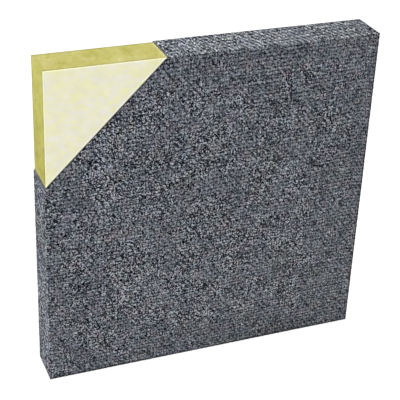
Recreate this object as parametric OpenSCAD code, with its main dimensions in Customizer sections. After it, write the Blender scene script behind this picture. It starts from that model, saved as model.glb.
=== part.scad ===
// Fabric-wrapped acoustic wall panel: a square glass-wool board with a thin
// glass tissue bonded to its front, wrapped in one heavy woven cloth that goes
// over the front, round the four edges and a little way onto the back. One
// upper corner of the cloth is cut away and shows the board and its tissue.
//
// Frame: the panel stands on its lower edge. X is its width, Y its thickness
// with the front at -Y, Z its height. The origin is the middle of the base.

/* [Panel] */
// Outside width and height of the finished, wrapped panel
panel_w = 600; // [300:5:1200]
// Outside thickness of the finished panel, over the cloth on both faces
panel_d = 75; // [25:1:100]

/* [Front tissue] */
// Thickness of the pale glass tissue bonded to the front of the board
tissue_t = 0.6; // [0.3:0.1:1.5]

/* [Cloth] */
// Thickness of the heavy woven cloth
cloth_t = 1.7; // [0.8:0.1:3]
// How far the cloth comes in over the back, from the panel's outer edge
return_w = 50; // [20:1:100]
// Width of the slit where two turned-in edges meet at a corner
seam_gap = 0.3; // [0.2:0.1:0.8]
// Flats that make up the round of each fold
fold_steps = 6; // [3:1:12]

/* [Cut-away corner] */
// Leg of the 45 degree cut, along the panel's outer edges from its corner
cut_leg = 210.6; // [60:0.2:290]

/* [Hidden] */
// Thickness of the slab inside the cloth, which is the board plus its tissue
slab_d = panel_d - 2 * cloth_t;
// Outside size of the board, which the cloth covers on all four edges
board_w = panel_w - 2 * cloth_t;
// Thickness of the board alone
board_d = slab_d - tissue_t;
// Planes of the slab, from front to back
slab_front = -slab_d / 2;
slab_back = slab_d / 2;
// Side of the bare square in the middle of the back
window_w = panel_w - 2 * return_w;
// Corners at which the cloth is whole, as signs of X and of height
covered_corners = [[1, 1], [1, -1], [-1, -1]];
// How far cutting shapes run past what they cut
over = 10;

// Points of a quarter turn of radius r about (cx, cy), from angle a
function fold_arc(cx, cy, r, a) =
    [for (i = [0 : fold_steps]) let (q = a + 90 * i / fold_steps)
        [cx + r * cos(q), cy + r * sin(q)]];

// Outline of the wrapped slab in section: the cloth turns each edge of the
// slab at its own thickness, as a cloth pulled tight over an arris does
module wrapped_section(w, d) {
    polygon(concat(
        fold_arc( w / 2,  d / 2, cloth_t,   0),
        fold_arc(-w / 2,  d / 2, cloth_t,  90),
        fold_arc(-w / 2, -d / 2, cloth_t, 180),
        fold_arc( w / 2, -d / 2, cloth_t, 270)));
}

// A block that stands on z = bottom, centred on X, from plane y0 to plane y1
module slab_block(w, h, y0, y1, bottom) {
    translate([-w / 2, y0, bottom]) cube([w, y1 - y0, h]);
}

// The wrapped panel as a solid: the section seen from above, carried up the
// height, where it meets the section seen from the side, carried across the
// width, so the folds meet in a mitre at each corner
module wrapped_body() {
    intersection() {
        translate([0, 0, -over])
            linear_extrude(height = panel_w + 2 * over)
                wrapped_section(board_w, slab_d);
        translate([-panel_w / 2 - over, 0, panel_w / 2])
            rotate([90, 0, 90])
                linear_extrude(height = panel_w + 2 * over)
                    rotate(90) wrapped_section(board_w, slab_d);
    }
}

// A slit in the diagonal plane of one corner, through the cloth on the edges
// and on the back. It stops just short of the front, whose cloth stays whole
module corner_seam(sx, sz) {
    reach = (return_w + over) * sqrt(2);
    translate([sx * panel_w / 2, 0, panel_w / 2 + sz * panel_w / 2])
        rotate([0, sx * sz > 0 ? -45 : 45, 0])
            translate([sx > 0 ? -reach : -over,
                       slab_front + seam_gap, -seam_gap / 2])
                cube([reach + over, panel_d + over, seam_gap]);
}

// The wedge that is cut out of the cloth, from front to back in one line
module corner_cut() {
    translate([-panel_w / 2, panel_d, panel_w])
        rotate([90, 0, 0])
            linear_extrude(height = 2 * panel_d)
                polygon([[-over, -cut_leg - over],
                         [cut_leg + over, over],
                         [-over, over]]);
}

// Glass-wool board, one rigid block
module core_board() {
    color([0.80, 0.77, 0.44])
        slab_block(board_w, board_w, slab_front + tissue_t, slab_back, cloth_t);
}

// Pale glass tissue on the board's front, edge to edge with it
module front_tissue() {
    color([0.92, 0.91, 0.79])
        slab_block(board_w, board_w, slab_front, slab_front + tissue_t, cloth_t);
}

// One piece of cloth: front, four edges and a return on the back
module fabric_wrap() {
    color([0.36, 0.37, 0.40])
        difference() {
            wrapped_body();
            slab_block(board_w, board_w, slab_front, slab_back, cloth_t);
            slab_block(window_w, window_w, 0, panel_d, return_w);
            for (c = covered_corners) corner_seam(c[0], c[1]);
            corner_cut();
        }
}

core_board();
front_tissue();
fabric_wrap();
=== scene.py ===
import math

import bmesh
import bpy
import numpy as np
from mathutils import Matrix, Vector


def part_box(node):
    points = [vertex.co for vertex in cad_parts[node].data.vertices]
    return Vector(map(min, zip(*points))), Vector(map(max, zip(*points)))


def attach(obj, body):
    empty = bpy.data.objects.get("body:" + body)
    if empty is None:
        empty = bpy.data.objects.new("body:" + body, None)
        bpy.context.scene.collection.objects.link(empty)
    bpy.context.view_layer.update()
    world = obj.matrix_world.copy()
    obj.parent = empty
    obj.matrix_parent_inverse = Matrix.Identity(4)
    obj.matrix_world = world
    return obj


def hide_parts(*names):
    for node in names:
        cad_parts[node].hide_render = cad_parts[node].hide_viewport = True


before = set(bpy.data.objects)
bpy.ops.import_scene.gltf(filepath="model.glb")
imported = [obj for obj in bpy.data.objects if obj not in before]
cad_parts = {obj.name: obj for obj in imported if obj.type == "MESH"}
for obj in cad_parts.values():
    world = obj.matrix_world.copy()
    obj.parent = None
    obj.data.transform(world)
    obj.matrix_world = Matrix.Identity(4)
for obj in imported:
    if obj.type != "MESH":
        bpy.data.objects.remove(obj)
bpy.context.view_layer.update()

MM = 0.001

# ---------------------------------------------------------------- sizes, from the frame
low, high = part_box("fabric_wrap")
PANEL_W = (high.x - low.x) / MM            # 600
PANEL_D = (high.y - low.y) / MM            # 75
b_low, b_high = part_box("core_board")
t_low, t_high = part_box("front_tissue")
S = b_high.x / MM                          # half the board's width, 298.3
T = PANEL_W / 2 - S                        # the cloth's thickness, 1.7
HB = b_high.y / MM                         # half the slab's thickness, 35.8
TISSUE = (t_high.y - t_low.y) / MM         # the tissue's thickness, 0.6
RETURN = 50.0                              # cloth on the back, from the outer edge
CUT_LEG = 210.6                            # leg of the 45 degree cut
ZC = PANEL_W / 2                           # height of the panel's centre
CUT = CUT_LEG - PANEL_W                    # the cut plane is x - z' = CUT, z' from the centre

ENDS = 226                                 # half cells of the weave across the front
PICKS = 177                                # half cells of the weave up the front
SEAM = 0.21                                # half of a corner slit, along the edge


# ---------------------------------------------------------------- noise in plain numpy
def hash01(*keys):
    """A repeatable random number in 0..1 for each set of whole numbers."""
    with np.errstate(over="ignore"):
        n = np.zeros(np.broadcast(*keys).shape, np.uint64)
        for i, k in enumerate(keys):
            salt = np.uint64((0x9E3779B97F4A7C15 * (i + 1)) & 0xFFFFFFFFFFFFFFFF)
            k = np.atleast_1d(np.asarray(k)).astype(np.int64).astype(np.uint64)
            n = n ^ ((k + salt) * np.uint64(0xBF58476D1CE4E5B9)).reshape(k.shape if n.shape else ())
            n = n ^ (n >> np.uint64(29))
            n = n * np.uint64(0x94D049BB133111EB)
            n = n ^ (n >> np.uint64(32))
    return (n >> np.uint64(11)).astype(np.float64) / float(1 << 53)


def smooth_noise(x, y, seed, period=1.0):
    """Value noise in -1..1, one lattice step per period."""
    x, y = np.asarray(x, float) / period, np.asarray(y, float) / period
    xi, yi = np.floor(x).astype(np.int64), np.floor(y).astype(np.int64)
    fx, fy = x - xi, y - yi
    fx, fy = fx * fx * (3 - 2 * fx), fy * fy * (3 - 2 * fy)
    s = np.int64(seed)
    a = hash01(xi, yi, s); b = hash01(xi + 1, yi, s)
    c = hash01(xi, yi + 1, s); d = hash01(xi + 1, yi + 1, s)
    return ((a * (1 - fx) + b * fx) * (1 - fy) + (c * (1 - fx) + d * fx) * fy) * 2 - 1


def step(x, a, b):
    t = np.clip((np.asarray(x, float) - a) / (b - a), 0, 1)
    return t * t * (3 - 2 * t)


# ---------------------------------------------------------------- shader nodes, written as sums
class Sock:
    """A socket of a node tree that can be added, multiplied and so on."""

    def __init__(self, tree, out):
        self.tree, self.out = tree, out

    def _math(self, op, *others, clamp=False):
        n = self.tree.nodes.new("ShaderNodeMath")
        n.operation, n.use_clamp = op, clamp
        for i, v in enumerate((self, *others)):
            if isinstance(v, Sock):
                self.tree.links.new(v.out, n.inputs[i])
            else:
                n.inputs[i].default_value = float(v)
        return Sock(self.tree, n.outputs[0])

    def __add__(self, o): return self._math("ADD", o)
    def __radd__(self, o): return self._math("ADD", o)
    def __sub__(self, o): return self._math("SUBTRACT", o)
    def __rsub__(self, o): return (self * -1.0) + o
    def __mul__(self, o): return self._math("MULTIPLY", o)
    def __rmul__(self, o): return self._math("MULTIPLY", o)
    def __truediv__(self, o): return self._math("DIVIDE", o)
    def __pow__(self, o): return self._math("POWER", o)
    def floor(self): return self._math("FLOOR")
    def abs(self): return self._math("ABSOLUTE")
    def cos(self): return self._math("COSINE")
    def sqrt(self): return self._math("SQRT")
    def max(self, o): return self._math("MAXIMUM", o)
    def min(self, o): return self._math("MINIMUM", o)
    def over(self, o): return self._math("GREATER_THAN", o)
    def clamp(self): return self._math("ADD", 0.0, clamp=True)

    def ramp(self, a, b):
        """0 below a, 1 above b, smooth between."""
        n = self.tree.nodes.new("ShaderNodeMapRange")
        n.interpolation_type = "SMOOTHSTEP"
        self.tree.links.new(self.out, n.inputs["Value"])
        n.inputs["From Min"].default_value = a
        n.inputs["From Max"].default_value = b
        return Sock(self.tree, n.outputs["Result"])


class Tree:
    """Short names for the nodes that the materials use."""

    def __init__(self, name):
        self.mat = bpy.data.materials.new(name)
        self.mat.use_nodes = True
        self.t = self.mat.node_tree
        self.t.nodes.clear()
        self.out = self.t.nodes.new("ShaderNodeOutputMaterial")
        self.bsdf = self.t.nodes.new("ShaderNodeBsdfPrincipled")
        self.t.links.new(self.bsdf.outputs[0], self.out.inputs["Surface"])

    def new(self, kind, **props):
        n = self.t.nodes.new(kind)
        for k, v in props.items():
            setattr(n, k, v)
        return n

    def link(self, a, b):
        self.t.links.new(a.out if isinstance(a, Sock) else a, b)

    def sock(self, out):
        return Sock(self.t, out)

    def uv(self, name):
        n = self.new("ShaderNodeUVMap", uv_map=name)
        s = self.new("ShaderNodeSeparateXYZ")
        self.link(n.outputs[0], s.inputs[0])
        return self.sock(s.outputs[0]), self.sock(s.outputs[1])

    def position(self):
        n = self.new("ShaderNodeTexCoord")
        s = self.new("ShaderNodeSeparateXYZ")
        self.link(n.outputs["Object"], s.inputs[0])
        return [self.sock(o) for o in s.outputs]

    def normal(self):
        n = self.new("ShaderNodeNewGeometry")
        s = self.new("ShaderNodeSeparateXYZ")
        self.link(n.outputs["True Normal"], s.inputs[0])
        return [self.sock(o) for o in s.outputs]

    def vec(self, x, y, z=0.0):
        n = self.new("ShaderNodeCombineXYZ")
        for i, v in enumerate((x, y, z)):
            if isinstance(v, Sock):
                self.link(v, n.inputs[i])
            else:
                n.inputs[i].default_value = float(v)
        return n.outputs[0]

    def noise(self, vector, scale=1.0, detail=2.0, rough=0.5, distort=0.0, dims="3D", lac=2.0):
        n = self.new("ShaderNodeTexNoise", noise_dimensions=dims)
        self.t.links.new(vector, n.inputs["Vector"])
        n.inputs["Scale"].default_value = scale
        n.inputs["Detail"].default_value = detail
        n.inputs["Roughness"].default_value = rough
        n.inputs["Distortion"].default_value = distort
        n.inputs["Lacunarity"].default_value = lac
        return self.sock(n.outputs["Fac"])

    def white(self, x, y, z=0.0):
        n = self.new("ShaderNodeTexWhiteNoise", noise_dimensions="3D")
        self.t.links.new(self.vec(x, y, z), n.inputs["Vector"])
        s = self.new("ShaderNodeSeparateColor")
        self.link(n.outputs["Color"], s.inputs[0])
        return [self.sock(o) for o in s.outputs]

    def cells(self, vector):
        """One random number for each cell of an uneven mosaic, one cell per unit."""
        n = self.new("ShaderNodeTexVoronoi")
        self.t.links.new(vector, n.inputs["Vector"])
        n.inputs["Scale"].default_value = 1.0
        s = self.new("ShaderNodeSeparateColor")
        self.link(n.outputs["Color"], s.inputs[0])
        return self.sock(s.outputs[0])

    def mix(self, fac, a, b):
        """A number between a and b."""
        n = self.new("ShaderNodeMix", data_type="FLOAT")
        for i, v in ((0, fac), (2, a), (3, b)):
            if isinstance(v, Sock):
                self.link(v, n.inputs[i])
            else:
                n.inputs[i].default_value = float(v)
        return self.sock(n.outputs[0])

    def mixc(self, fac, a, b, kind="MIX"):
        """A colour between a and b."""
        n = self.new("ShaderNodeMix", data_type="RGBA", blend_type=kind)
        for i, v in ((0, fac), (6, a), (7, b)):
            if isinstance(v, (Sock, bpy.types.NodeSocket)):
                self.link(v, n.inputs[i])
            elif isinstance(v, tuple):
                n.inputs[i].default_value = (*v, 1.0)
            else:
                n.inputs[i].default_value = v
        return self.sock(n.outputs[2])

    def colours(self, fac, stops, mode="LINEAR"):
        n = self.new("ShaderNodeValToRGB")
        n.color_ramp.interpolation = mode
        e = n.color_ramp.elements
        while len(e) < len(stops):
            e.new(0.5)
        for x, (p, c) in zip(e, stops):
            x.position, x.color = p, (*c, 1.0)
        self.link(fac, n.inputs[0])
        return self.sock(n.outputs[0])

    def bump(self, height, strength=1.0, distance=0.001, normal=None):
        n = self.new("ShaderNodeBump")
        n.inputs["Strength"].default_value = strength
        n.inputs["Distance"].default_value = distance
        self.link(height, n.inputs["Height"])
        if normal is not None:
            self.t.links.new(normal, n.inputs["Normal"])
        return n.outputs[0]


# ---------------------------------------------------------------- the woven cloth
SIDE = {"right": 28, "left": 28, "top": 22, "bottom": 22}   # half cells over each side of the panel


def weave_height(mc, nc):
    """Relief of the weave in -1..1 at cloth places mc, nc, in half cells. Odd numbers are yarn middles."""
    u, v = mc / 2 - 0.5, nc / 2 - 0.5
    wob = 0.16 * smooth_noise(mc, nc, 5, 3.1)
    t1 = np.cos(2 * np.pi * v)
    t2 = np.cos(np.pi * (u + v + wob))
    t3 = np.cos(np.pi * (u - v))
    t4 = np.cos(2 * np.pi * u)
    h = 0.42 * t1 + 0.24 * t2 + 0.10 * t3 + 0.24 * t4
    i, j = np.round(u), np.round(v)
    h = h + 0.42 * (hash01(i, j, 11) - 0.5) * np.clip(0.5 + 0.5 * (t1 + t4), 0, 1)
    h = h + 0.22 * smooth_noise(mc, nc / 9.0, 21, 2.0) + 0.22 * smooth_noise(mc / 9.0, nc, 22, 2.0)
    return np.clip(h, -1.25, 1.15)


RELIEF = 0.46      # mm either side of the middle
SINK = 0.50        # mm from the cloth's outer face to the middle of the relief, where it is pressed on a floor or wall
PROUD = 0.06       # the same where the cloth is free


def relief(mc, nc, fade):
    """How far the cloth's surface stands from its outer face, in mm, along the outward normal."""
    pressed = step(-nc, 0.0, 1.0)
    for flap, out in (("right", mc - ENDS), ("left", -mc), ("top", nc - PICKS), ("bottom", -nc)):
        pressed = np.maximum(pressed, step(out, 1.0 + SIDE[flap], 2.0 + SIDE[flap]))
    middle = -PROUD + (PROUD - SINK) * pressed
    return (middle + RELIEF * weave_height(mc, nc)) * fade - 0.12 * (1 - fade)


ARC = [22.5, 45.0, 67.5, 90.0]
BACK = {"right": 18, "left": 18, "top": 14, "bottom": 14}
EXTRA = [0.50, 0.95, 1.30, T - SEAM]   # columns past the board's end, up to the slit
DROP = [0.02, 0.10, 0.28, 0.55]        # how far they sink into the slit


class Cloth:
    """Collects the cloth's outer surface: places, inner places and cloth coordinates."""

    def __init__(self):
        self.index, self.co, self.normal, self.inner, self.st, self.fade = {}, [], [], [], [], []
        self.faces = []

    def add(self, key, place, normal, inner, mc, nc, fade=1.0):
        if key not in self.index:
            self.index[key] = len(self.co)
            self.co.append(place)
            self.normal.append(normal)
            self.inner.append(inner)
            self.st.append((mc, nc))
            self.fade.append(fade)
        return self.index[key]

    def face(self, *ids):
        out = []
        for i in ids:
            if not out or i != out[-1]:
                out.append(i)
        if len(out) > 1 and out[0] == out[-1]:
            out.pop()
        if len(set(out)) >= 3:
            self.faces.append(tuple(out))

    def quad(self, a, b, c, d):
        """Two triangles, split along the lean of the floats."""
        self.face(a, b, c)
        self.face(a, c, d)

    def places(self):
        """All places with the relief added."""
        st = np.array(self.st, float)
        d = relief(st[:, 0], st[:, 1], np.array(self.fade, float))
        return np.array(self.co, float) + np.array(self.normal, float) * d[:, None]


def front_places():
    """Where the yarn crossings lie on the front: rows and columns wander a little away from the edges."""
    m, n = np.meshgrid(np.arange(ENDS + 1), np.arange(PICKS + 1))
    x = -S + m * 2 * S / ENDS
    z = -S + n * 2 * S / PICKS
    hem = step(np.minimum(S - np.abs(x), S - np.abs(z)), 0.0, 26.0)
    dx = 2.6 * np.sin(z / 141.0 + 0.7) + 1.5 * np.sin(z / 58.0 - x / 310.0)
    dz = 3.4 * np.sin(x / 172.0 - 0.5) + 1.3 * np.sin(x / 49.0 + z / 260.0)
    dx = dx + 0.22 * smooth_noise(m, n / 7.0, 31) + 0.30 * smooth_noise(m, n, 33)
    dz = dz + 0.30 * smooth_noise(m / 7.0, n, 32) + 0.36 * smooth_noise(m, n, 34)
    return x + hem * dx, z + hem * dz


def flap_frame(flap):
    across = flap in ("top", "bottom")          # its columns run along x
    sign = 1 if flap in ("right", "top") else -1
    count = ENDS if across else PICKS           # half cells along the fold
    limit = PICKS if across else ENDS           # the cloth coordinate at the fold

    def place(e, u, y):
        """e along the fold, u outwards from the board's edge, y as it is."""
        return (e, y, sign * (S + u)) if across else (sign * (S + u), y, e)

    def norm(au, ay):
        return (0.0, ay, sign * au) if across else (sign * au, ay, 0.0)

    def coords(col, w):
        out = limit + w if sign > 0 else -w
        return (col, out) if across else (out, col)

    def strip(cloth, a, b):
        """The faces between one row and the next one outwards."""
        for k in range(len(a) - 1):
            if across:
                q = (b[k], a[k], a[k + 1], b[k + 1]) if sign > 0 else (a[k], b[k], b[k + 1], a[k + 1])
            else:
                q = (a[k + 1], a[k], b[k], b[k + 1]) if sign > 0 else (b[k + 1], b[k], a[k], a[k + 1])
            cloth.quad(*q)

    return across, sign, count, limit, place, norm, coords, strip


def build_outer():
    c = Cloth()
    fx, fz = front_places()
    for n in range(PICKS + 1):
        for m in range(ENDS + 1):
            x, z = fx[n, m], fz[n, m]
            c.add(("f", m, n), (x, -HB - T, z), (0, -1, 0), (x, -HB, z), m, n)
    for n in range(PICKS):
        for m in range(ENDS):
            c.quad(*(c.index[("f", *k)] for k in ((m, n + 1), (m, n), (m + 1, n), (m + 1, n + 1))))
    for flap in ("right", "left", "top", "bottom"):
        across, sign, count, limit, place, norm, coords, strip = flap_frame(flap)
        n1 = SIDE[flap]
        cell = 2 * S / count
        edge = limit if sign > 0 else 0
        base = [c.index[("f", k, edge) if across else ("f", edge, k)] for k in range(count + 1)]
        rows = [[base[0]] * 5 + base + [base[-1]] * 5]
        steps = [("arc", th, k) for k, th in enumerate(ARC, 1)]
        steps += [("side", k, 4 + k) for k in range(1, n1 + 1)]
        steps += [("turn", th, 4 + n1 + k) for k, th in enumerate(ARC, 1)]
        for kind, val, r in steps:
            if kind == "arc":
                th, w, y = math.radians(val), 0.25 * r, -HB
            elif kind == "side":
                th, w, y = math.pi / 2, 1.0 + val, -HB + 2 * HB * val / n1
            else:
                th, w, y = math.radians(90 + val), 1.0 + n1 + 0.25 * (r - 4 - n1), HB
            su, sy = math.sin(th), -math.cos(th)

            def put(tag, e, drop, inner_e, col, fade):
                return c.add((flap, r, tag), place(e, (T - drop) * su, y + (T - drop) * sy), norm(su, sy),
                             place(inner_e, 0.0, y), *coords(col, w), fade)

            line = []
            for k in range(count + 1):
                e = -S + k * 2 * S / count
                last = k in (0, count)
                if last and kind == "turn":
                    e = math.copysign(S - SEAM + SEAM * su, e)
                inner_e = e if kind == "arc" else math.copysign(min(abs(e), S - SEAM), e)
                line.append(put(k, e, 0.0, inner_e, k, 0.7 if last else 1.0))
            for sgn, tag in ((-1, "lo"), (1, "hi")):
                more = []
                for j, (ex, dr) in enumerate(zip(EXTRA, DROP)):
                    col = count + ex / cell if sgn > 0 else -ex / cell
                    fade = max(0.0, 1.0 - (ex + 0.6) / 2.0)
                    if kind == "arc":
                        more.append(put((tag, j), sgn * (S + ex * su), 0.0, sgn * S, col, fade))
                    elif kind == "side":
                        drop = dr * min(1.0, (y + HB) / 5.0)
                        more.append(put((tag, j), sgn * (S + ex), drop, sgn * (S - SEAM), col, fade))
                    elif su > 0.01:
                        e = S - SEAM + (ex + SEAM) * su
                        more.append(put((tag, j), sgn * e, dr * su, sgn * (S - SEAM), col, fade))
                    else:
                        more.append(line[0] if sgn < 0 else line[-1])
                if kind == "arc":
                    # the two folds meet in a mitre at the corner
                    other = (("right" if sgn > 0 else "left") if across else ("top" if sgn > 0 else "bottom"))
                    sx, sz = (sgn, sign) if across else (sign, sgn)
                    nm = np.array([sx * su, 1.4142 * sy, sz * su]) / 1.4142
                    col = count + T / cell if sgn > 0 else -T / cell
                    key = ("tip", tuple(sorted((flap, other))), r)
                    more.append(c.add(key, place(sgn * (S + T * su), T * su, y + T * sy), tuple(nm),
                                      place(sgn * S, 0.0, y), *coords(col, w), 0.0))
                else:
                    more.append(more[-1])
                line = more[::-1] + line if sgn < 0 else line + more
            rows.append(line)
        for a, b in zip(rows[:-1], rows[1:]):
            strip(c, a, b)
    return c


def build_return(flap):
    """The part of one flap that lies on the back, before its ends are mitred."""
    across, sign, count, limit, place, norm, coords, strip = flap_frame(flap)
    n1, n2 = SIDE[flap], BACK[flap]
    c = Cloth()
    rows = []
    jig = 0.35 * smooth_noise(np.arange(count + 1), np.full(count + 1, sign + 7.0 * across), 44, 1.7)
    for r in range(n2 + 1):
        u = -(RETURN - T) * r / n2
        line = []
        for k in range(count + 1):
            e = -S + k * 2 * S / count
            last = k in (0, count)
            if last:
                e = math.copysign(S - SEAM, e)
            fade = 0.7 if last and r == 0 else 1.0
            if r:
                fade *= float(step(S + u - SEAM - abs(e), -3.0, 1.6)) if not last else 0.0
            j = 0.0
            if r == n2:
                # uneven along the raw edge, true at its two ends
                near = min(S + u - abs(e), abs(abs(e) - (-S - u - CUT)) if flap in ("left", "top") else 99.0)
                j = float(jig[k] * step(near, 4.0, 14.0))
            line.append(c.add((r, k), place(e, u + j, HB + T), (0, 1, 0), place(e, u, HB), *coords(k, 2.0 + n1 + r), fade))
        rows.append(line)
    for a, b in zip(rows[:-1], rows[1:]):
        strip(c, a, b)
    return c


def as_bmesh(cloth):
    bm = bmesh.new()
    inner = bm.verts.layers.float_vector.new("inner")
    st = bm.verts.layers.float_vector.new("st")
    for p, q, s in zip(cloth.places(), cloth.inner, cloth.st):
        v = bm.verts.new(p)
        v[inner] = Vector(q)
        v[st] = Vector((s[0], s[1], 0.0))
    bm.verts.ensure_lookup_table()
    for f in cloth.faces:
        try:
            bm.faces.new([bm.verts[i] for i in f])
        except ValueError:
            pass
    return bm


def cut_off(bm, co, no):
    """Removes what lies on the side that no points to, and leaves a straight edge."""
    geom = bm.verts[:] + bm.edges[:] + bm.faces[:]
    bmesh.ops.bisect_plane(bm, geom=geom, dist=1e-4, plane_co=co, plane_no=no, clear_outer=True)


def fabric():
    """The whole cloth as one closed mesh, in mm."""
    total = as_bmesh(build_outer())
    for flap in ("right", "left", "top", "bottom"):
        part = as_bmesh(build_return(flap))
        across = flap in ("top", "bottom")
        sign = 1 if flap in ("right", "top") else -1
        for sgn in (1, -1):
            # keep |e| - S <= u - SEAM, where the outward place is sign * (S + u)
            co = (sgn * (S - SEAM), 0, sign * S) if across else (sign * S, 0, sgn * (S - SEAM))
            no = (sgn, 0, -sign) if across else (-sign, 0, sgn)
            cut_off(part, co, no)
        me = bpy.data.meshes.new("part")
        part.to_mesh(me)
        part.free()
        total.from_mesh(me)
        bpy.data.meshes.remove(me)
    bmesh.ops.remove_doubles(total, verts=total.verts[:], dist=0.004)
    # the corner that is cut away
    cut_off(total, (CUT, 0, 0), (-1, 0, 1))
    bmesh.ops.dissolve_degenerate(total, dist=0.002, edges=total.edges[:])
    bmesh.ops.triangulate(total, faces=total.faces[:])
    total.verts.ensure_lookup_table()

    inner_l = total.verts.layers.float_vector["inner"]
    st_l = total.verts.layers.float_vector["st"]
    part_l = total.faces.layers.int.new("part")
    nudge = {}
    rim_edges = [e for e in total.edges if len(e.link_faces) == 1]
    rim_verts = {v for e in rim_edges for v in e.verts}
    # the cut ends of the yarns are a little uneven along the diagonal
    for v in rim_verts:
        if abs(v.co.x - v.co.z - CUT) < 0.01:
            s = v[st_l]
            a = 0.16 * float(smooth_noise(s.x * 1.3 + s.y * 2.1, s.y * 0.7, 51, 1.0))
            if v.co.y < -HB + 0.01:      # pulled over the edge a little where it lies on the front
                a -= 0.49
            nudge[v] = Vector((a, 0, -a))
    made = {}

    def under(v):
        """The place on the slab below a vertex of the cloth's raw edge."""
        q = v[inner_l].copy()
        on_cut = abs(v.co.x - v.co.z - CUT) < 0.01
        if on_cut:
            if q.x < -S + 0.01:
                return Vector((-S, q.y, -S - CUT))
            if q.z > S - 0.01:
                return Vector((S + CUT, q.y, S))
            return Vector((v.co.x, q.y, v.co.z))
        if q.y > HB - 0.01 and abs(abs(q.x) - S) > 0.01 and abs(abs(q.z) - S) > 0.01:
            # on the mitred ends of the returns, not on their raw edge
            ax, az = abs(v.co.x), abs(v.co.z)
            if abs(abs(ax - az) - SEAM) < 0.05 and min(ax, az) > S - RETURN:
                return Vector((v.co.x, HB, v.co.z))
        return q

    def inner_vert(v):
        q = under(v)
        key = (round(q.x, 2), round(q.y, 2), round(q.z, 2))
        if key not in made:
            w = total.verts.new(q)
            w[inner_l] = q
            w[st_l] = v[st_l]
            made[key] = w
        return made[key]

    for e in rim_edges:
        a, b = e.verts
        ia, ib = inner_vert(a), inner_vert(b)
        ring = [a, b, ib, ia] if ia is not ib else [a, b, ia]
        f = total.faces.new(ring)
        f[part_l] = 1
    for v, d in nudge.items():
        v.co += d

    # the inner faces, each flat on the slab
    inner_verts = list(made.values())

    def corner(x, y, z):
        key = (round(x, 2), round(y, 2), round(z, 2))
        if key not in made:
            w = total.verts.new((x, y, z))
            w[inner_l] = Vector((x, y, z))
            made[key] = w
            inner_verts.append(w)
        return made[key]

    def sheet_face(outline):
        """A flat face through these corners, and through every inner vertex that lies on its sides."""
        loop = []
        pts = [Vector(p) for p in outline]
        ends = [corner(*p) for p in outline]
        for i, p in enumerate(pts):
            q = pts[(i + 1) % len(pts)]
            d = q - p
            on = []
            for w in inner_verts:
                t = (w.co - p).dot(d) / d.length_squared
                if -1e-4 < t < 1 + 1e-4 and ((p + d * t) - w.co).length < 0.02:
                    on.append((t, w))
            on.sort(key=lambda k: k[0])
            loop += [w for _, w in on]
        ring = []
        for w in loop:
            if w not in ring:
                ring.append(w)
        f = total.faces.new(ring)
        f[part_l] = 2
        return f

    g = SEAM
    cx = CUT + S                 # where the cut meets the slab's top edge; -cx is its height on the left edge
    r0 = RETURN - T
    sheet_face([(-S, -HB, -S), (S, -HB, -S), (S, -HB, S), (cx, -HB, S), (-S, -HB, -cx)])
    y1 = -HB + 2 * HB / SIDE["right"]
    y2 = -HB + 2 * HB / SIDE["top"]
    sheet_face([(S, -HB, -S), (S, y1, -S + g), (S, HB, -S + g), (S, HB, S - g), (S, y1, S - g), (S, -HB, S)])
    sheet_face([(-S, -HB, -S), (-S, y1, -S + g), (-S, HB, -S + g), (-S, HB, -cx), (-S, -HB, -cx)])
    sheet_face([(-S, -HB, -S), (-S + g, y2, -S), (-S + g, HB, -S), (S - g, HB, -S), (S - g, y2, -S), (S, -HB, -S)])
    sheet_face([(cx, -HB, S), (cx, HB, S), (S - g, HB, S), (S - g, y2, S), (S, -HB, S)])
    i = S - r0
    sheet_face([(S, HB, -S + g), (S, HB, S - g), (i, HB, i - g), (i, HB, -i + g)])
    sheet_face([(-S + g, HB, -S), (S - g, HB, -S), (i - g, HB, -i), (-i + g, HB, -i)])
    sheet_face([(-S, HB, -S + g), (-i, HB, -i + g), (-i, HB, -i - CUT), (-S, HB, -cx)])
    sheet_face([(S - g, HB, S), (cx, HB, S), (i + CUT, HB, i), (i - g, HB, i)])
    return total


# ---------------------------------------------------------------- the cloth's finish
GREYS = [0, 25, 57, 91, 125, 158, 191]   # screen greys of the yarn, from the darkest to the lightest


def as_linear(*c):
    """A screen colour, 0..255 each, as the linear colour that shaders use."""
    out = []
    for x in c:
        x = max(x, 0.0) / 255.0
        out.append(x / 12.92 if x <= 0.04045 else ((x + 0.055) / 1.055) ** 2.4)
    return tuple(out)


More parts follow.
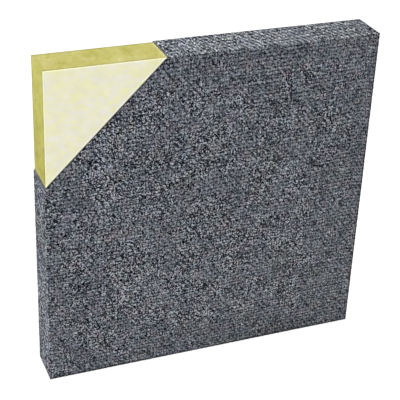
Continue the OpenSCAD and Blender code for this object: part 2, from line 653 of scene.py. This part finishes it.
def cloth_material():
    """A plain weave of thick melange yarns: light and dark grey plies on a brick lattice, bluish and warm in places."""
    t = Tree("woven_melange")
    u, v = t.uv("cloth")
    # past the folds the yarns are drawn out, so the cells grow longer down the sides, not on the back
    far_u, far_v = ENDS / 2, PICKS / 2
    side_u, side_v = SIDE["right"] / 2 + 1.0, SIDE["top"] / 2 + 1.0
    beyond_u = (u - far_u).max(0.0) + u.min(0.0)
    beyond_v = (v - far_v).max(0.0) + v.min(0.0)
    back_u = beyond_u.abs().over(side_u)
    back_v = beyond_v.abs().over(side_v)
    u = u - beyond_u.max(-side_u).min(side_u) * 0.47
    v = v - beyond_v.max(-side_v).min(side_v) * 0.52
    on_ends = beyond_v.abs().over(0.01) - back_v
    flat = t.vec(u, v)

    # the yarns wander, so the lattice is never quite straight
    wa = t.noise(flat, scale=0.55, detail=2.0, rough=0.6)
    wb = t.noise(t.vec(u + 41.3, v - 17.9), scale=0.55, detail=2.0, rough=0.6)
    # and the picks lie about a degree off square to the ends, so no row follows a fold
    U = u - 0.5 + (wa - 0.5) * 0.80
    V = v * 0.983 - u * 0.0177 - 0.5 + (wb - 0.5) * 0.62
    al, be = (U + V) * 0.5, (U - V) * 0.5

    # floats of the ends, leaning down to the right
    ia, ib = (al + 0.5).floor(), (be + 0.5).floor()
    a, b = al - ia, be - ib
    r1, r2, r3 = t.white(ia, ib, 3.0)
    wide = 0.40 + (r3 - 0.5) * 0.12
    ra, rb = a / wide, b / 0.62
    end = 1.0 - (ra * ra + rb * rb)

    # floats of the picks, lying across between them
    ja, jb = al.floor() + 0.5, be.floor() + 0.5
    c, d = al - ja, be - jb
    q1, q2, q3 = t.white(ja, jb, 9.0)
    du, dv = c + d, c - d
    rc, rd = du / 0.70, dv / (0.47 + (q3 - 0.5) * 0.12)
    pick = 0.96 - (rc * rc + rd * rd)

    top = end.max(pick)
    is_end = (end - pick).ramp(-0.10, 0.10)
    body = top.ramp(-0.08, 0.40)

    # two plies of different shade are twisted together, so each float shows a few short light and dark lengths
    se = ((b + 0.5) * 3.7 - a * 1.2 + r1 * 3.0).floor() + (a * 3.3 + b * 0.5 + r2).floor() * 7.0
    sp = ((du + 0.5) * 2.4 + dv * 1.2 + q1 * 3.0).floor() + (dv * 2.4 + q2).floor() * 7.0
    p1, p2, p3 = t.white(ia * 2.0 + 0.3, ib * 2.0 - 0.2, se)
    m1, m2, m3 = t.white(ja * 2.0 + 0.3, jb * 2.0 - 0.2, sp + 40.0)
    ply = t.mix(is_end, m1, p1)
    odd = t.mix(is_end, m2, p2)
    # most lengths are mid grey or a little lighter, a few are nearly black
    shade_ply = 0.3125 - ((1.0 - ply) ** 2.2)
    rare = odd.over(0.95) * 0.24 - (1.0 - odd).over(0.90) * 0.30
    tone = 0.482 + (shade_ply * 0.98 + rare) * (1.0 - on_ends * 0.42) + (is_end - 0.5) * 0.03 + (t.mix(is_end, q2, r2) - 0.5) * 0.22

    # loose fibres, finer than a yarn, and finer still on the top and bottom, where the ends are pulled straight
    grow = on_ends * 0.24 + 1.0
    fu, gu = U * grow, u * grow
    fuzz = t.noise(t.vec(fu, V * 1.5), scale=2.9, detail=1.0, rough=0.6, distort=0.3)
    tone = tone + (fuzz - 0.5) * 0.60
    # flecks of single fibres, most of them leaning down to the right
    fleck_a = t.cells(t.vec((fu * 0.77 - V * 0.82) * 1.9, (fu * 0.64 + V * 0.98) * 3.3, 3.0))
    fleck_b = t.cells(t.vec((fu * 0.94 + V * 0.43) * 1.9, (V * 1.20 - fu * 0.34) * 3.3, 11.0))
    tone = tone + ((fleck_a - 0.5) * 0.28 + (fleck_b - 0.5) * 0.20) * (1.0 - on_ends * 0.35)
    lint = t.noise(t.vec(gu * 1.1 + 7.0, v * 1.35, 2.0), scale=1.9, detail=0.0)
    tone = tone + (lint - 0.5) * (1.75 + on_ends * 0.35)
    # stray fibres that curl over the yarns, light ones and dark ones
    curl_a = t.noise(t.vec(gu, v * 1.5, 4.0), scale=1.6, detail=1.0, rough=0.5, distort=0.5)
    curl_b = t.noise(t.vec(gu + 13.0, v * 1.5, 9.0), scale=1.6, detail=1.0, rough=0.5, distort=0.5)
    line_a = (1.0 - (curl_a - 0.5).abs() * 9.0).clamp()
    line_b = (1.0 - (curl_b - 0.5).abs() * 9.0).clamp()
    tone = tone + line_a * 0.06 - line_b * 0.09
    fib_end = t.noise(t.vec(a * 17.0 + ia * 3.1, b * 2.6 + ib * 7.7, r2 * 9.0), scale=1.0, detail=2.0, rough=0.6)
    fib_pick = t.noise(t.vec(du * 1.6 + ja * 5.3, dv * 8.5 + jb * 3.7, q2 * 9.0), scale=1.0, detail=2.0, rough=0.6)
    fib = t.mix(is_end, fib_pick, fib_end)
    tone = tone + (fib - 0.5) * 0.50

    # on the sides the yarns are drawn tight, and look crisper
    crisp = beyond_u.abs().max(beyond_v.abs()).over(0.01) - back_u.max(back_v)
    # calmer and stronger places over the panel, and calmer towards the front's four edges
    inland = u.min(far_u - u).min((v * 1.27).min((far_v - v) * 1.27))
    rim = (1.0 - inland.ramp(1.0, 22.0)) * (1.0 - crisp)
    cloud = t.noise(t.vec(u, v * 1.27), scale=0.085, detail=2.0, rough=0.6) - on_ends * (u - 78.0) * 0.0013
    cloud2 = t.noise(t.vec(u + 5.0, v * 1.27), scale=0.24, detail=1.0)
    calm = (cloud + (cloud2 - 0.5) * 0.6 + (u - 56.0) * 0.0013 + rim * 0.16).ramp(0.38, 0.66)
    gain = t.mix(calm, 0.970, 0.420)
    tone = (tone - 0.465) * gain * (1.0 - crisp * 0.150 + on_ends * 0.105) + 0.533 - gain * gain * 0.080
    tone = tone - (1.0 - body) * 0.46
    row = (V * (2.0 * math.pi)).cos()
    column = (U * (2.0 * math.pi)).cos()
    both = ((U + V) * (2.0 * math.pi)).cos()
    lean = ((U + V) * math.pi).cos()
    across = ((U - V) * math.pi).cos()
    tone = tone + row * 0.040 + column * 0.024 + both * 0.015 + lean * on_ends * 0.075 + across * 0.019
    shade = t.noise(t.vec(u + 9.0, v * 1.27), scale=0.05, detail=3.0, rough=0.65)
    tone = tone + (shade - 0.5) * 0.08 + (cloud2 - 0.5) * 0.24 * (1.0 - on_ends * 0.5) + crisp * 0.017 + on_ends * 0.006

    # the same step towards blue in every shade, so the dark lengths look bluest
    grey = t.colours(tone.clamp(), [(k / 6, as_linear(g - 3.8 + k * 0.1, g - 0.2, g + 8.5 - k * 0.4)) for k, g in enumerate(GREYS)])
    hue = t.noise(t.vec(u - 60.0, v * 1.27 + 3.0), scale=0.10, detail=3.0, rough=0.62)
    hue2 = t.noise(t.vec(u + 23.0, v + 71.0), scale=0.5, detail=1.0, rough=0.5)
    red = t.noise(t.vec(u + 90.0, v * 1.27 + 31.0), scale=0.22, detail=3.0, rough=0.7)
    # a shade bluer over the front's upper left, and greyer over its lower right
    drift = ((v - 44.0) * 0.0009 - (u - 56.0) * 0.0008 - 0.012) * (1.0 - crisp)
    blue = ((hue - 0.5) * 1.0 + (hue2 - 0.5) * 0.5 + 0.5 + drift).clamp()
    tint = t.colours(blue, [(0.25, (1.03, 1.01, 0.92)), (0.5, (1.0, 1.0, 1.0)), (0.75, (0.985, 0.99, 1.09))])
    tint2 = t.colours(((red - 0.5) * (1.2 - on_ends * 0.6) + 0.5).clamp(), [(0.2, (0.875, 1.025, 1.0)), (0.5, (1.0, 1.0, 1.0)), (0.8, (1.15, 0.97, 1.0))])
    col = t.mixc(1.0, t.mixc(1.0, grey, tint, "MULTIPLY"), tint2, "MULTIPLY")

    # painted shade: the cloth is darkened along its folds over the arrises, most along the back folds, and in a dark
    # band beside the cut on the front
    x, y, z = t.position()
    ax, az = 0.3 - x.abs(), 0.3 - (z - 0.3).abs()
    half = PANEL_D / 2 * MM
    front_fold = (y + half).max((0.3 - x).min(z))
    back_fold = (half - y).max(ax.min(az))
    corner_fold = ax.max(az)
    fold = front_fold.min(back_fold).min(corner_fold).ramp(0.0016, 0.0056)
    hem = ((x - z + (0.3 - CUT * MM)) * 0.7071 + (fleck_b - 0.5) * 0.0012).ramp(0.0002, 0.0024)
    painted_shade = t.mix(fold, 0.46, 1.0) * t.mix(hem, t.mix(y.over(-0.0352), 0.24 + (fleck_a - 0.5) * 0.40 + (fuzz - 0.5) * 0.6, 0.97).clamp(), 1.0) * t.mix(back_fold.ramp(0.0020, 0.0120), 0.82, 1.0)
    # painted shade: much darker along the bottom edge, and a little darker over the lowest 70 mm, more so towards the
    # right
    painted_shade = painted_shade * t.mix(z.ramp(0.0018, 0.0075), 0.55, 1.0) * (1.0 - (1.0 - z.ramp(0.0, 0.07)) * (0.06 + x.ramp(-0.05, 0.10) * 0.16))
    # painted shade: darker along the arris between the front and the right side
    painted_shade = painted_shade * t.mix((y + half).max(0.3 - x).ramp(0.0018, 0.0075), 0.86, 1.0)
    # the top is a little less bright away from the cut
    painted_shade = painted_shade * (1.0 + on_ends * (0.080 - x.ramp(-0.05, 0.30) * 0.20))
    # painted light and shade on the two upright sides: lighter towards the front, darker towards the back
    painted_shade = painted_shade * (1.0 - (y.ramp(-0.010, 0.030) * 0.16 - 0.09) * (x.abs() - 0.2985).ramp(0.0, 0.001))
    col = t.mixc(1.0, col, t.vec(painted_shade, painted_shade, painted_shade * (1.0 - on_ends * 0.024)), "MULTIPLY")
    t.link(col, t.bsdf.inputs["Base Color"])

    t.link(0.92 + (fib - 0.5) * 0.12, t.bsdf.inputs["Roughness"])
    t.bsdf.inputs["Specular IOR Level"].default_value = 0.10

    height = body * 0.55 + (fib - 0.5) * 0.30 + (ply - 0.5) * 0.10 + is_end * body * 0.15
    t.link(t.bump(height, strength=0.55, distance=0.0007), t.bsdf.inputs["Normal"])
    return t.mat


def cut_material():
    """The cut ends of the yarns: dark, with single lighter fibres; nearly black on the front, partly as painted shade,
    and lighter on the sides as painted light.
    """
    t = Tree("cut_yarn_ends")
    x, y, z = t.position()
    p = t.vec(x, y, z)
    n = t.noise(p, scale=900.0, detail=2.0, rough=0.6)
    m = t.noise(p, scale=160.0, detail=1.0)
    col = t.colours((n * 0.7 + m * 0.3), [
        (0.30, (0.005, 0.005, 0.007)),
        (0.55, (0.013, 0.014, 0.018)),
        (0.75, (0.060, 0.062, 0.072)),
    ])
    # painted light: the cut ends on the sides get a lighter set of colours than on the front
    col = t.mixc(y.over(-0.0352), col, t.colours(n * 0.6 + m * 0.4, [
        (0.32, (0.028, 0.030, 0.036)),
        (0.50, (0.085, 0.089, 0.100)),
        (0.68, (0.175, 0.180, 0.200)),
    ]))
    t.link(col, t.bsdf.inputs["Base Color"])
    t.bsdf.inputs["Roughness"].default_value = 0.95
    t.bsdf.inputs["Specular IOR Level"].default_value = 0.1
    t.link(t.bump(n, strength=0.6, distance=0.0005), t.bsdf.inputs["Normal"])
    return t.mat


# ---------------------------------------------------------------- the glass wool's finish
def wool_material():
    """Resin-bonded glass wool: olive yellow, felted in layers that run parallel to the two big faces."""
    t = Tree("bonded_wool")
    x, y, z = t.position()
    # along the layers far apart, across them close together
    lay = t.noise(t.vec(x * 9.0, y * 105.0, z * 9.0), scale=1.0, detail=3.0, rough=0.6, distort=0.3)
    band = t.noise(t.vec(x * 2.2, y * 62.0, z * 2.2), scale=1.0, detail=1.0, rough=0.5)
    # tufts of fibre that run slantwise through the thickness
    mott = t.noise(t.vec(x - y * 0.26, y * 0.46, z + y * 0.33), scale=52.0, detail=4.0, rough=0.70, distort=0.4)
    fine = t.noise(t.vec(x * 240.0, y * 900.0, z * 240.0), scale=1.0, detail=2.0, rough=0.65)
    # the two big faces show short curled fibres instead
    nx, ny, nz = t.normal()
    facing = ny.abs().ramp(0.5, 0.9)
    curl = t.noise(t.vec(x, y, z), scale=95.0, detail=4.0, rough=0.72, distort=2.2)
    strand = (1.0 - (t.noise(t.vec(x + 5.0, y, z), scale=60.0, detail=2.0, rough=0.6, distort=1.6) - 0.5).abs() * 14.0).clamp()
    tone = 0.5 + (lay - 0.5) * 0.22 + (band - 0.5) * 0.20 + (fine - 0.5) * 0.28
    tone = tone + (mott - 0.5) * t.mix(facing, 1.00, 0.45) + ((curl - 0.5) * 0.95 + (strand - 0.3) * 0.12) * facing
    # painted shade: the wool is darker lower down, most on the two upright sides
    tone = tone + (z.ramp(0.33, 0.61) - 0.75) * (0.20 + nx.abs().ramp(0.5, 0.9) * 0.11)
    base = t.colours(tone.clamp(), [
        (0.15, (0.250, 0.228, 0.060)),
        (0.40, (0.345, 0.325, 0.086)),
        (0.60, (0.405, 0.385, 0.118)),
        (0.85, (0.500, 0.475, 0.190)),
    ])
    # tan places where the binder has set
    tan = t.noise(t.vec(x * 30.0, y * 46.0 + 3.0, z * 30.0), scale=1.0, detail=2.0, rough=0.6)
    col = t.mixc(tan.ramp(0.52, 0.74) * t.mix(facing, 0.55, 0.25), base, (0.410, 0.330, 0.150))
    # sawn across and sawn along the mat
    # painted light: the two upright sides are lighter and a shade yellower than the other faces
    sawn = nx.abs().ramp(0.5, 0.9)
    col = t.mixc(sawn, t.mixc(1.0, col, (0.977, 0.967, 1.025), "MULTIPLY"), t.mixc(1.0, col, (1.20, 1.215, 1.07), "MULTIPLY"))
    # painted shade: darker along the arrises, a little more on the upright sides and along the four arrises that run
    # front to back
    ax, ay, az = S * MM - x.abs(), HB * MM - y.abs(), S * MM - (z - ZC * MM).abs()
    arris = ax.max(ay).min(ay.max(az)).ramp(0.0012, 0.0085)
    arris_shade = t.mix(arris, t.mix(sawn, 0.78, 0.74), 1.0) * t.mix(ax.max(az).ramp(0.0012, 0.0085), 0.92, 1.0)
    # and a purer yellow towards the back, where fewer fibres stand out of it
    clean = arris_shade * t.mix(arris.max(1.0 - y.over(0.0)), 0.82, 1.0) * (1.0 + (mott - 0.5) * nz.abs().ramp(0.5, 0.9) * 0.55)
    # painted light: paler beside the cut on the upright sides and the top, and a painted shadow in a dark line beside
    # the cloth's edge on the upright sides
    to_cut = (x - z + (0.3 - CUT * MM)) * 0.7071
    near = (to_cut + t.mix(sawn, 0.0038, 0.0095)).ramp(0.0, 0.0026) * (1.0 - facing)
    under = (to_cut + 0.0016).ramp(0.0, 0.0008) * sawn * 0.50
    pale = 1.0 + near * 0.17 - under
    col = t.mixc(1.0, col, t.vec(arris_shade * pale, arris_shade * pale, clean * (1.0 + near * 0.55 - under)), "MULTIPLY")
    t.link(col, t.bsdf.inputs["Base Color"])
    t.bsdf.inputs["Roughness"].default_value = 0.93
    t.bsdf.inputs["Specular IOR Level"].default_value = 0.06
    h = lay * 0.5 + fine * 0.5
    t.link(t.bump(h, strength=0.5, distance=0.0006), t.bsdf.inputs["Normal"])
    return t.mat


def tissue_material():
    """The pale facing tissue, with the yellow wool showing through in soft blotches."""
    t = Tree("facing_tissue")
    x, y, z = t.position()
    p = t.vec(x, y, z)
    wide = t.noise(t.vec(x + 2.0, y, z), scale=11.0, detail=1.0)
    big = t.noise(t.vec(x, y, z * 1.7), scale=30.0, detail=2.0, rough=0.6, distort=0.8)
    mid = t.noise(t.vec(x + 3.0, y, z * 1.5 - 5.0), scale=80.0, detail=2.0, rough=0.60, distort=1.0)
    small = t.noise(t.vec(x - 7.0, y, z * 1.3), scale=210.0, detail=1.0)
    through = ((big - 0.5) * 1.72 + (mid - 0.5) * 1.68 + (small - 0.5) * 0.55 + (wide - 0.5) * 0.9 + (x - z + 0.70) * 0.6 + 0.585).clamp()
    # long thin fibres, laid at random
    f1 = t.noise(t.vec(x * 900.0, y, z * 110.0), scale=1.0, detail=1.0, distort=0.8)
    f2 = t.noise(t.vec(x * 110.0, y + 2.0, z * 900.0), scale=1.0, detail=1.0, distort=0.8)
    hair = f1.max(f2)
    pale = t.colours(through, [
        (0.10, (0.864, 0.841, 0.735)),
        (0.50, (0.862, 0.847, 0.622)),
        (0.90, (0.868, 0.862, 0.510)),
    ])
    col = t.mixc((hair - 0.5).ramp(0.0, 0.3) * 0.22, pale, (0.900, 0.890, 0.800))
    cloudy = t.noise(t.vec(x + 11.0, y, z + 4.0), scale=60.0, detail=2.0)
    # painted light: a little paler beside the cut, and a little darker along the top edge
    to_cut = (x - z + (0.3 - CUT * MM)) * 0.7071
    near = (to_cut + 0.0065).ramp(0.0, 0.0065) * 0.11 + (to_cut + 0.0040).ramp(0.0, 0.0018) * 0.37
    gain = 1.0 + (cloudy - 0.5) * 0.15 + near - (z - 0.5958).ramp(0.0, 0.0012) * 0.10
    # painted shadow: a dark line right beside the cloth's cut edge
    gain = gain - (to_cut + 0.0016).ramp(0.0, 0.0010) * 0.62
    col = t.mixc(1.0, col, t.vec(gain, gain, gain + (to_cut + 0.0046).ramp(0.0, 0.0016) * 0.12), "MULTIPLY")
    # its edge is thin, and takes the colour of the wool behind it
    nx, ny, nz = t.normal()
    edge = (1.0 - ny.abs()).ramp(0.3, 0.7)
    col = t.mixc(edge, col, t.mixc(nz.ramp(0.5, 0.9), (0.600, 0.570, 0.360), (0.430, 0.415, 0.270)))
    t.link(col, t.bsdf.inputs["Base Color"])
    t.bsdf.inputs["Roughness"].default_value = 0.82
    t.bsdf.inputs["Specular IOR Level"].default_value = 0.2
    t.link(t.bump(hair, strength=0.25, distance=0.0003), t.bsdf.inputs["Normal"])
    return t.mat


# ---------------------------------------------------------------- pieces
def cloth_piece():
    bm = fabric()
    st_l = bm.verts.layers.float_vector["st"]
    part_l = bm.faces.layers.int["part"]
    bmesh.ops.recalc_face_normals(bm, faces=bm.faces[:])
    weave = bm.loops.layers.uv.new("cloth")
    bake = bm.loops.layers.uv.new("OFBake")
    # the whole blank laid out flat, in half cells from its corner
    far_x, far_y = 3 + SIDE["left"] + BACK["left"], 3 + SIDE["top"] + BACK["top"]
    kx, ky = 0.976 / (ENDS + 2 * far_x), 0.976 / (PICKS + 2 * far_y)
    for f in bm.faces:
        part = f[part_l]
        f.smooth = part == 0
        f.material_index = 1 if part == 1 else 0
        outer = [lp for lp in f.loops]
        for lp in outer:
            s = lp.vert[st_l]
            lp[weave].uv = (s.x / 2, s.y / 2)
            if part == 2:
                # the glued side is never seen: all of it goes into one empty corner of the layout
                q = lp.vert.co
                lp[bake].uv = (0.012 + (q.x + 300) * 4.0e-5, 0.012 + (q.z + 300 + q.y) * 4.0e-5)
            else:
                lp[bake].uv = (0.012 + (s.x + far_x) * kx, 0.012 + (s.y + far_y) * ky)
    # the rim is as wide as the cloth is thick: in the layout it lies beside the raw edge
    for f in bm.faces:
        if f[part_l] != 1:
            continue
        mid = sum(((lp[bake].uv) for lp in f.loops), Vector((0.0, 0.0))) / len(f.loops)
        edge_loops = [lp for lp in f.loops if any(g[part_l] == 0 for g in lp.edge.link_faces)]
        if not edge_loops:
            continue
        lp = edge_loops[0]
        g = next(g for g in lp.edge.link_faces if g[part_l] == 0)
        inside = sum((h[bake].uv for h in g.loops), Vector((0.0, 0.0))) / 3
        rim = lp.edge.verts[:]
        a = next(h[bake].uv.copy() for h in g.loops if h.vert is rim[0])
        b = next(h[bake].uv.copy() for h in g.loops if h.vert is rim[1])
        along = b - a
        out = Vector((along.y, -along.x))
        if out.length > 0:
            out.normalize()
        if out.dot(a - inside) < 0:
            out = -out
        for h in f.loops:
            if h.vert is rim[0]:
                h[bake].uv = a + out * 0.0006
            elif h.vert is rim[1]:
                h[bake].uv = b + out * 0.0006
        far = [h for h in f.loops if h.vert is not rim[0] and h.vert is not rim[1]]
        for h in far:
            near = a if (h.vert.co - rim[0].co).length < (h.vert.co - rim[1].co).length else b
            h[bake].uv = (near if len(far) > 1 else (a + b) / 2) + out * 0.0030
    me = bpy.data.meshes.new("cloth_cover")
    bmesh.ops.scale(bm, vec=(MM, MM, MM), verts=bm.verts[:])
    bmesh.ops.translate(bm, vec=(0, 0, ZC * MM), verts=bm.verts[:])
    bm.to_mesh(me)
    bm.free()
    me.materials.append(cloth_material())
    me.materials.append(cut_material())
    ob = bpy.data.objects.new("cloth_cover", me)
    bpy.context.scene.collection.objects.link(ob)
    return ob


def marks(lo, hi, fine_from, fine_to, fine, coarse):
    """Grid places from lo to hi, closer together between fine_from and fine_to."""
    out = [lo]
    while out[-1] < hi - 1e-6:
        x = out[-1]
        gap = fine if fine_from - 1e-6 <= x < fine_to else coarse
        nxt = x + gap
        if x < fine_from < nxt:
            nxt = fine_from
        if hi - nxt < gap * 0.6:
            nxt = hi
        out.append(min(nxt, hi))
    return out


def box_shell(xs, ys, zs, move):
    """A closed box of quads on these grid places, each vertex moved by move(co, outward normal)."""
    nx, ny, nz = len(xs) - 1, len(ys) - 1, len(zs) - 1
    index, co = {}, []

    def vert(i, j, k):
        if (i, j, k) not in index:
            index[(i, j, k)] = len(co)
            n = (-(i == 0) + (i == nx), -(j == 0) + (j == ny), -(k == 0) + (k == nz))
            co.append((xs[i], ys[j], zs[k], *n))
        return index[(i, j, k)]

    faces = []
    for i in range(nx):
        for k in range(nz):
            faces.append([vert(i, 0, k), vert(i + 1, 0, k), vert(i + 1, 0, k + 1), vert(i, 0, k + 1)])
            faces.append([vert(i, ny, k), vert(i, ny, k + 1), vert(i + 1, ny, k + 1), vert(i + 1, ny, k)])
    for j in range(ny):
        for k in range(nz):
            faces.append([vert(0, j, k), vert(0, j, k + 1), vert(0, j + 1, k + 1), vert(0, j + 1, k)])
            faces.append([vert(nx, j, k), vert(nx, j + 1, k), vert(nx, j + 1, k + 1), vert(nx, j, k + 1)])
        for i in range(nx):
            faces.append([vert(i, j, 0), vert(i, j + 1, 0), vert(i + 1, j + 1, 0), vert(i + 1, j, 0)])
            faces.append([vert(i, j, nz), vert(i + 1, j, nz), vert(i + 1, j + 1, nz), vert(i, j + 1, nz)])
    co = np.array(co, float)
    return co[:, :3] + move(co[:, :3], co[:, 3:]), faces


def mesh_piece(name, co, faces, material, smooth=True):
    me = bpy.data.meshes.new(name)
    me.from_pydata([tuple(c) for c in co], [], faces)
    me.update()
    if smooth:
        me.polygons.foreach_set("use_smooth", [True] * len(me.polygons))
    me.materials.append(material)
    ob = bpy.data.objects.new(name, me)
    bpy.context.scene.collection.objects.link(ob)
    return ob


def wool_piece():
    y0, y1 = -HB + TISSUE, HB
    xs = marks(-S, S, -S, -84.0, 2.5, 8.0)
    zs = [-z for z in reversed(marks(-S, S, -S, -84.0, 2.5, 8.0))]
    ys = list(np.linspace(y0, y1, 29))

    def move(p, n):
        x, y, z = p[:, 0], p[:, 1], p[:, 2]
        edges = np.abs(n).sum(axis=1)
        side = np.abs(n[:, 0]) + np.abs(n[:, 2]) > 0
        # felted layers on the sawn edges, soft pits on the back
        s = x + z * 1.13
        lay = smooth_noise(s / 24.0, y / 3.1, 61) * 0.5 + smooth_noise(s / 7.0, y / 2.2, 62) * 0.5
        pit = smooth_noise(x / 6.0, z / 6.0, 63) * 0.6 + smooth_noise(x / 2.6, z / 2.6, 64) * 0.4
        d = np.where(side, 0.22 + 0.20 * lay, 0.20 + 0.18 * pit)
        d = np.where(n[:, 1] < 0, 0.0, d)
        d = np.where((edges > 1) & (n[:, 1] >= 0), d + 0.22, d)
        length = np.maximum(np.linalg.norm(n, axis=1), 1.0)
        q = -(n / length[:, None]) * d[:, None]
        # the edge along the tissue stays in its plane
        q[:, 1] = np.where(n[:, 1] < 0, 0.0, q[:, 1])
        rim = (n[:, 1] < 0) & side
        q[rim] = -(n[rim] * np.array([1.0, 0.0, 1.0])) * 0.05
        return q

    co, faces = box_shell(xs, ys, zs, move)
    co = co * MM + np.array([0.0, 0.0, ZC * MM])
    return mesh_piece("wool_board", co, faces, wool_material())


def tissue_piece():
    xs = marks(-S, S, -S, -84.0, 2.5, 8.0)
    zs = [-z for z in reversed(xs)]
    ys = [-HB, -HB + TISSUE]

    def move(p, n):
        x, z = p[:, 0], p[:, 2]
        r = 0.06 * smooth_noise(x / 13.0, z / 13.0, 71) + 0.04 * smooth_noise(x / 4.2, z / 4.2, 72)
        out = np.zeros_like(p)
        out[:, 1] = np.where(n[:, 1] < 0, 0.10 + r, 0.0)
        edge = (np.abs(n[:, 0]) + np.abs(n[:, 2])) > 0
        wav = 0.10 + 0.08 * smooth_noise((x + z) / 5.0, (x - z) / 5.0, 73)
        out[:, 0] = np.where(edge, -n[:, 0] * wav, 0.0)
        out[:, 2] = np.where(edge, -n[:, 2] * wav, 0.0)
        return out

    co, faces = box_shell(xs, ys, zs, move)
    co = co * MM + np.array([0.0, 0.0, ZC * MM])
    ob = mesh_piece("tissue_sheet", co, faces, tissue_material())
    me = ob.data
    flat = [abs(p.normal.y) < 0.5 for p in me.polygons]
    me.polygons.foreach_set("use_smooth", [not f for f in flat])
    return ob


# ---------------------------------------------------------------- stage, light and camera
def stage_and_light():
    sc = bpy.context.scene
    sc.view_settings.view_transform = "Standard"
    sc.view_settings.look = "None"
    sc.view_settings.exposure = 0.0
    sc.view_settings.gamma = 1.0

    me = bpy.data.meshes.new("floor")
    me.from_pydata([(-14, -14, 0), (14, -14, 0), (14, 14, 0), (-14, 14, 0)], [], [(0, 1, 2, 3)])
    floor = bpy.data.objects.new("floor", me)
    sc.collection.objects.link(floor)
    t = Tree("floor_paper")
    t.bsdf.inputs["Base Color"].default_value = (0.714, 0.714, 0.714, 1.0)
    t.bsdf.inputs["Roughness"].default_value = 1.0
    t.bsdf.inputs["Specular IOR Level"].default_value = 0.0
    me.materials.append(t.mat)

    world = bpy.data.worlds.new("studio")
    sc.world = world
    world.use_nodes = True
    nt = world.node_tree
    nt.nodes.clear()
    out = nt.nodes.new("ShaderNodeOutputWorld")
    fill = nt.nodes.new("ShaderNodeBackground")
    fill.inputs["Color"].default_value = (1.0, 1.0, 1.0, 1.0)
    fill.inputs["Strength"].default_value = 0.446
    seen = nt.nodes.new("ShaderNodeBackground")
    seen.inputs["Color"].default_value = (1.0, 1.0, 1.0, 1.0)
    seen.inputs["Strength"].default_value = 1.05
    path = nt.nodes.new("ShaderNodeLightPath")
    mix = nt.nodes.new("ShaderNodeMixShader")
    nt.links.new(path.outputs["Is Camera Ray"], mix.inputs[0])
    nt.links.new(fill.outputs[0], mix.inputs[1])
    nt.links.new(seen.outputs[0], mix.inputs[2])
    nt.links.new(mix.outputs[0], out.inputs["Surface"])

    sun = bpy.data.lights.new("key", "SUN")
    sun.energy = 1.245 * math.pi
    sun.angle = math.radians(25)
    sun.use_shadow = False
    key = bpy.data.objects.new("key", sun)
    to_light = Vector((-0.345, -0.12, 0.885)).normalized()
    key.rotation_euler = to_light.to_track_quat("Z", "Y").to_euler()
    sc.collection.objects.link(key)


def camera():
    cam = bpy.data.cameras.new("camera")
    cam.sensor_fit = "HORIZONTAL"
    cam.sensor_width = 36.0
    cam.lens = 104.5413
    cam.clip_start, cam.clip_end = 0.05, 60.0
    ob = bpy.data.objects.new("camera", cam)
    right = Vector((0.929215, -0.367470, 0.039043))
    up = Vector((0.146654, 0.463677, 0.873783))
    fwd = Vector((0.339192, 0.806206, -0.484747))
    pos = Vector((-0.712018, -1.673691, 1.308459))
    m = Matrix.Identity(4)
    for i in range(3):
        m[i][0], m[i][1], m[i][2], m[i][3] = right[i], up[i], -fwd[i], pos[i]
    ob.matrix_world = m
    bpy.context.scene.collection.objects.link(ob)
    bpy.context.scene.camera = ob


def main():
    camera()
    stage_and_light()
    cloth = cloth_piece()
    wool = wool_piece()
    tissue = tissue_piece()
    for ob, node, slot in ((cloth, "fabric_wrap", "woven_cloth"), (wool, "core_board", "glass_wool"), (tissue, "front_tissue", "glass_tissue")):
        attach(ob, "root")
        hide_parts(node)


main()
